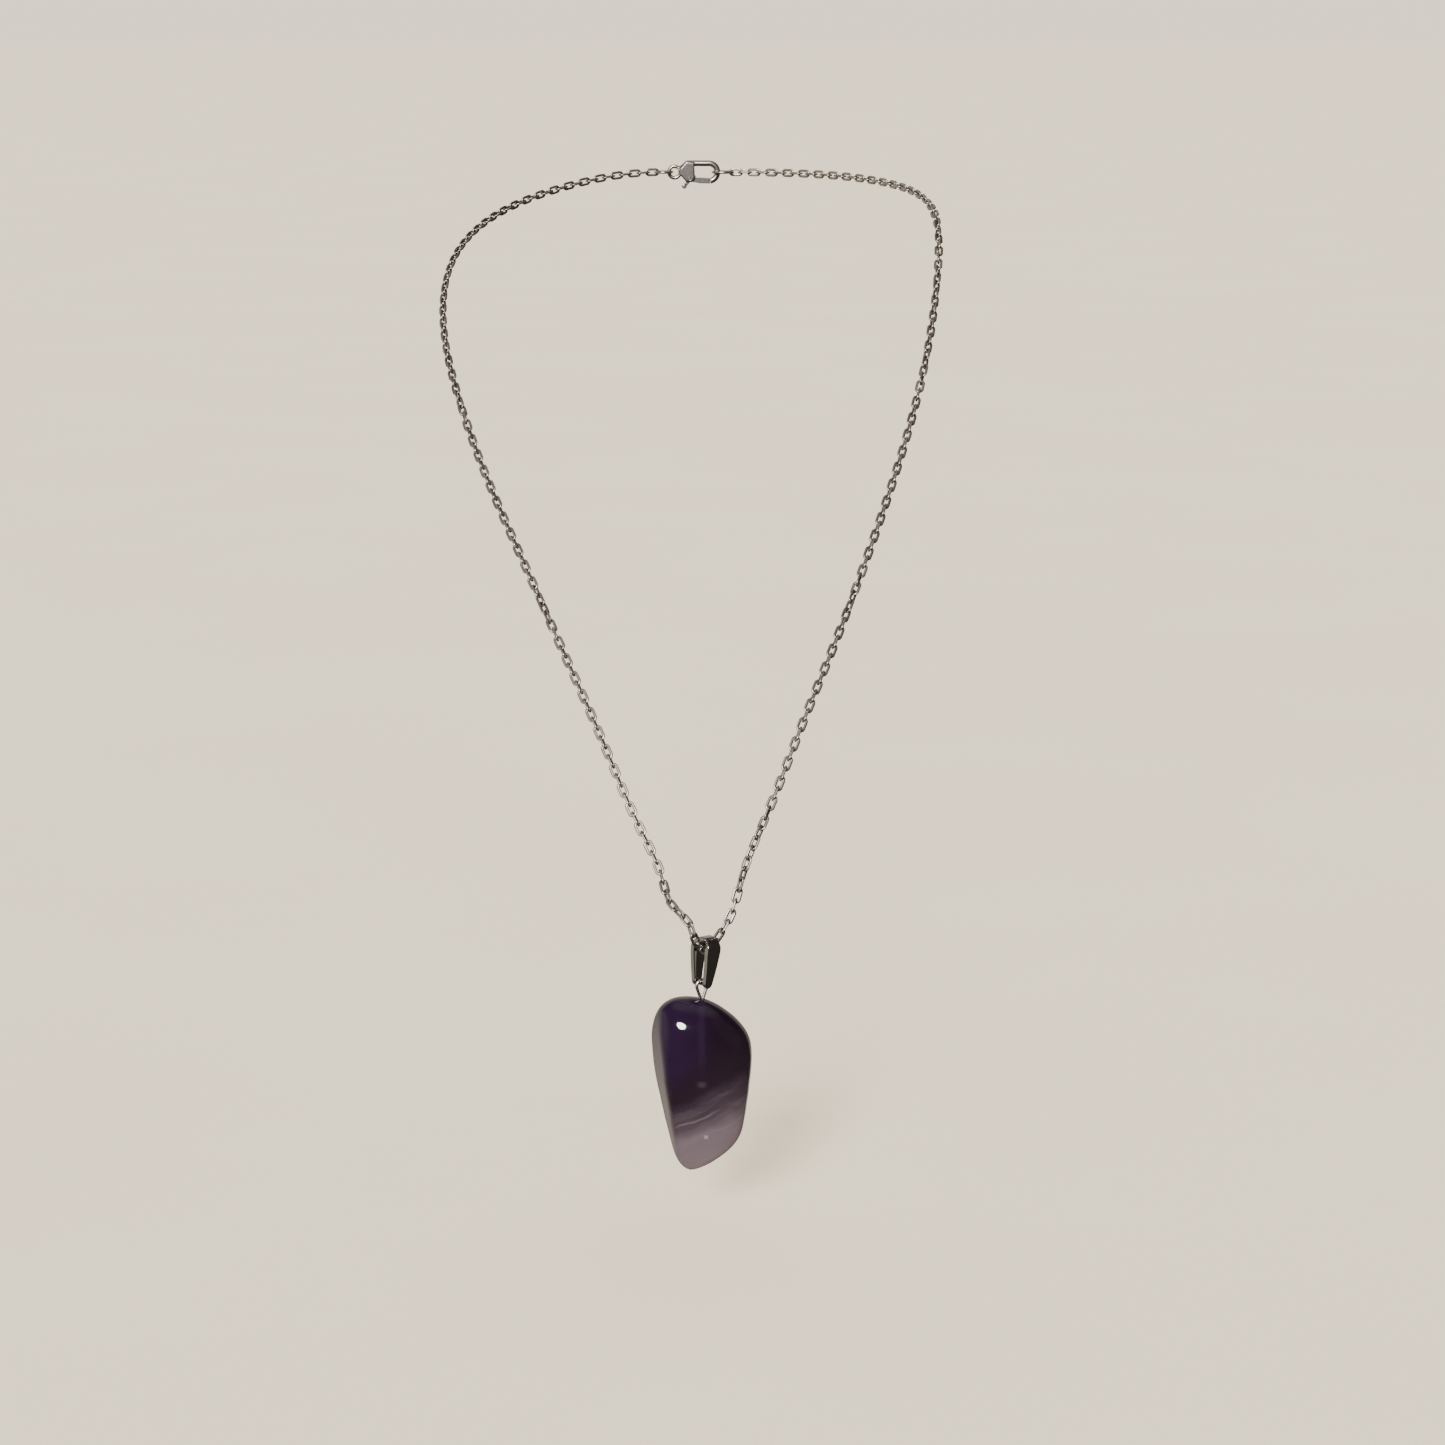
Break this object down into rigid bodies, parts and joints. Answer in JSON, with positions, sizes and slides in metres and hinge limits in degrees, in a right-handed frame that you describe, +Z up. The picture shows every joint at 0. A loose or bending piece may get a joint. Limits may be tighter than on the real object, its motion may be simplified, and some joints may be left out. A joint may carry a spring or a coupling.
{
  "type": "pendant necklace",
  "caption": "Worn-shape necklace: a polished amethyst nugget hangs by a glued eye peg and a folded bail from a cable chain with a lobster clasp at the nape.",
  "frame": {"origin": "centre of the neck opening, level with the sides of the neck, at the mount neck_rest", "axes": "+Z up, +Y towards the nape, +X to the right of someone facing the pendant"},
  "size_m": [0.0937, 0.1541, 0.1617],
  "materials": {
    "chain_steel": "polished",
    "bail_steel": "mirror polished",
    "peg_silver": "polished",
    "ring_steel": "polished",
    "clasp_steel": "polished, tumbled edges",
    "spring_steel": "drawn wire",
    "clear_adhesive": "cured clear epoxy",
    "amethyst": "tumble polished, zoned violet to smoky lilac"
  },
  "bodies": {
    "neck_chain": {"left_shoulder_chain": "chain_steel", "left_nape_chain": "chain_steel", "right_shoulder_chain": "chain_steel", "right_nape_chain": "chain_steel"},
    "upper_chest_chain": {"left_upper_chest_chain": "chain_steel", "right_upper_chest_chain": "chain_steel"},
    "middle_chest_chain": {"left_middle_chest_chain": "chain_steel", "right_middle_chest_chain": "chain_steel"},
    "lower_chest_chain": {"left_lower_chest_chain": "chain_steel", "right_lower_chest_chain": "chain_steel", "apex_link": "chain_steel"},
    "bail": {"bail": "bail_steel"},
    "pendant": {"stone": "amethyst", "eye_peg": "peg_silver", "peg_adhesive": "clear_adhesive"},
    "jump_ring": {"clasp_jump_ring": "ring_steel"},
    "clasp": {"clasp_body": "clasp_steel", "clasp_spring": "spring_steel", "clasp_rivet": "clasp_steel"},
    "clasp_lever": {"clasp_lever": "clasp_steel"},
    "end_ring": {"end_ring": "ring_steel"}
  },
  "joints": [
    {"name": "shoulder_fold", "type": "hinge", "parent": "neck_chain", "child": "upper_chest_chain", "pos_m": [-0.00014, -0.02656, -0.01746], "axis": [-0.9956, 0.0072, -0.0939], "range_deg": [0, 25]},
    {"name": "upper_chest_fold", "type": "hinge", "parent": "upper_chest_chain", "child": "middle_chest_chain", "pos_m": [0.00042, -0.04778, -0.03716], "axis": [-0.9984, 0.0256, -0.0502], "range_deg": [0, 25]},
    {"name": "lower_chest_fold", "type": "hinge", "parent": "middle_chest_chain", "child": "lower_chest_chain", "pos_m": [0.00188, -0.07946, -0.07232], "axis": [-0.9985, 0.0316, -0.0457], "range_deg": [0, 25]},
    {"name": "bail_swing", "type": "hinge", "parent": "lower_chest_chain", "child": "bail", "pos_m": [0.00295, -0.102, -0.11225], "axis": [0.6655, 0.7431, -0.0699], "range_deg": [-45, 45]},
    {"name": "pendant_swing", "type": "hinge", "parent": "bail", "child": "pendant", "pos_m": [0.00231, -0.102, -0.11837], "axis": [-0.7391, 0.6691, 0.0777], "range_deg": [-50, 50]},
    {"name": "jump_ring_roll", "type": "hinge", "parent": "neck_chain", "child": "jump_ring", "pos_m": [-0.00611, 0.0445, 0.0085], "axis": [1, 0, 0], "range_deg": [-15, 15]},
    {"name": "clasp_roll", "type": "hinge", "parent": "jump_ring", "child": "clasp", "pos_m": [-0.00394, 0.0445, 0.0085], "axis": [1, 0, 0], "range_deg": [-20, 20]},
    {"name": "clasp_lever_swing", "type": "hinge", "parent": "clasp", "child": "clasp_lever", "pos_m": [-0.00093, 0.0445, 0.00725], "axis": [0, -1, 0], "range_deg": [0, 22], "stiffness_Nm_per_rad": 0.004, "springref_deg": -20.05, "deforming": ["clasp_spring"]},
    {"name": "end_ring_roll", "type": "hinge", "parent": "neck_chain", "child": "end_ring", "pos_m": [0.00581, 0.0445, 0.0085], "axis": [1, 0, 0], "range_deg": [-15, 15]}
  ]
}
